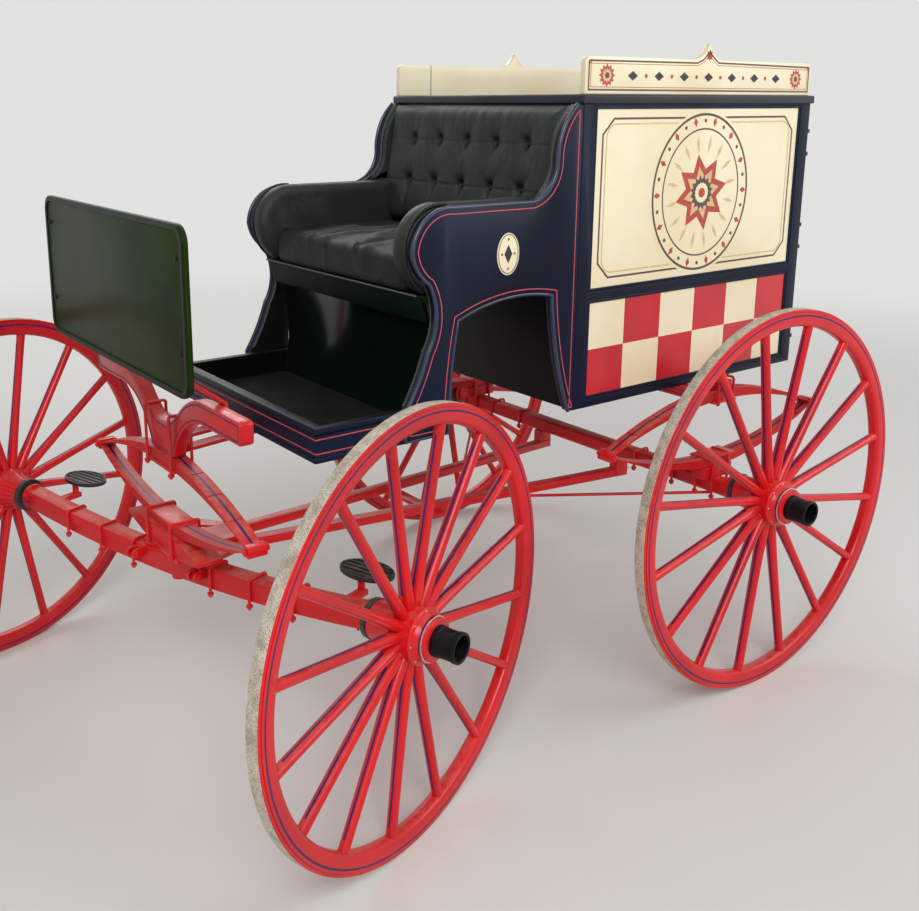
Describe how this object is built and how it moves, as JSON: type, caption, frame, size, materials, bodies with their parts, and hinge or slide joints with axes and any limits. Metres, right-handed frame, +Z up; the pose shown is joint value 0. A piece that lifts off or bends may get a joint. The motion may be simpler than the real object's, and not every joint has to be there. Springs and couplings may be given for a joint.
{
  "type": "horse drawn delivery carriage",
  "caption": "Four-wheeled horse drawn delivery carriage with a box body, cut-under front, open driver's seat, dash and elliptic springs",
  "frame": {"origin": "centre of the bounding box's footprint, on the ground under the wheels, with the front axle turned as it parks", "axes": "+X forward, the way the carriage is drawn; +Y to its left; +Z up"},
  "size_m": [2.731, 1.7762, 1.801],
  "materials": {
    "red_paint": "gloss",
    "navy_paint": "gloss",
    "cream_paint": "gloss",
    "green_gloss": "gloss",
    "black_paint": "satin",
    "black_iron": "satin",
    "black_leather": "satin",
    "tyre_steel": "rough"
  },
  "bodies": {
    "root": {"arm_pad_left": "black_leather", "arm_pad_right": "black_leather", "body_irons": "red_paint", "bolster": "red_paint", "box_side_left": "cream_paint", "box_side_right": "cream_paint", "bulkhead": "black_paint", "cargo_floor": "black_paint", "dash": "green_gloss", "dash_irons": "red_paint", "door_hinges": "black_iron", "fifth_wheel_upper": "red_paint", "floor_pan": "navy_paint", "front_bar": "red_paint", "front_spring": "red_paint", "kingpin": "red_paint", "reach_cross": "red_paint", "reach_left": "red_paint", "reach_right": "red_paint", "rear_axle": "red_paint", "rear_bar": "red_paint", "rear_spring_left": "red_paint", "rear_spring_right": "red_paint", "roof": "navy_paint", "seat_back": "black_leather", "seat_board": "black_paint", "seat_cushion": "black_leather", "seat_riser": "green_gloss", "side_panel_left": "navy_paint", "side_panel_right": "navy_paint", "sign_board_left": "cream_paint", "sign_board_right": "cream_paint", "stay_rods": "red_paint"},
    "front_gear": {"front_axle": "red_paint", "fifth_wheel_lower": "red_paint", "shaft_couplings": "red_paint", "step_plates": "black_iron"},
    "spin_front_left": {"wheel_front_left": "red_paint", "tyre_front_left": "tyre_steel", "hub_cap_front_left": "black_iron"},
    "spin_front_right": {"wheel_front_right": "red_paint", "tyre_front_right": "tyre_steel", "hub_cap_front_right": "black_iron"},
    "spin_rear_left": {"wheel_rear_left": "red_paint", "tyre_rear_left": "tyre_steel", "hub_cap_rear_left": "black_iron"},
    "spin_rear_right": {"wheel_rear_right": "red_paint", "tyre_rear_right": "tyre_steel", "hub_cap_rear_right": "black_iron"},
    "leaf_left": {"door_left": "cream_paint", "door_latch": "black_iron"},
    "leaf_right": {"door_right": "cream_paint"}
  },
  "joints": [
    {"name": "steer", "type": "hinge", "parent": "root", "child": "front_gear", "pos_m": [0.63892, 0, 0.511], "axis": [0, 0, 1], "range_deg": [-56.4, 19.6]},
    {"name": "roll_front_left", "type": "hinge", "parent": "front_gear", "child": "spin_front_left", "pos_m": [0.40218, 0.71166, 0.511], "axis": [-0.3156, 0.9489, 0], "continuous": true},
    {"name": "roll_front_right", "type": "hinge", "parent": "front_gear", "child": "spin_front_right", "pos_m": [0.87565, -0.71166, 0.511], "axis": [-0.3156, 0.9489, 0], "continuous": true},
    {"name": "roll_rear_left", "type": "hinge", "parent": "root", "child": "spin_rear_left", "pos_m": [-0.81808, 0.75, 0.5475], "axis": [0, 1, 0], "continuous": true},
    {"name": "roll_rear_right", "type": "hinge", "parent": "root", "child": "spin_rear_right", "pos_m": [-0.81808, -0.75, 0.5475], "axis": [0, 1, 0], "continuous": true},
    {"name": "door_left_swing", "type": "hinge", "parent": "root", "child": "leaf_left", "pos_m": [-1.35208, 0.395, 1.223], "axis": [0, 0, -1], "range_deg": [0, 110]},
    {"name": "door_right_swing", "type": "hinge", "parent": "root", "child": "leaf_right", "pos_m": [-1.35208, -0.395, 1.223], "axis": [0, 0, 1], "range_deg": [0, 110]}
  ]
}
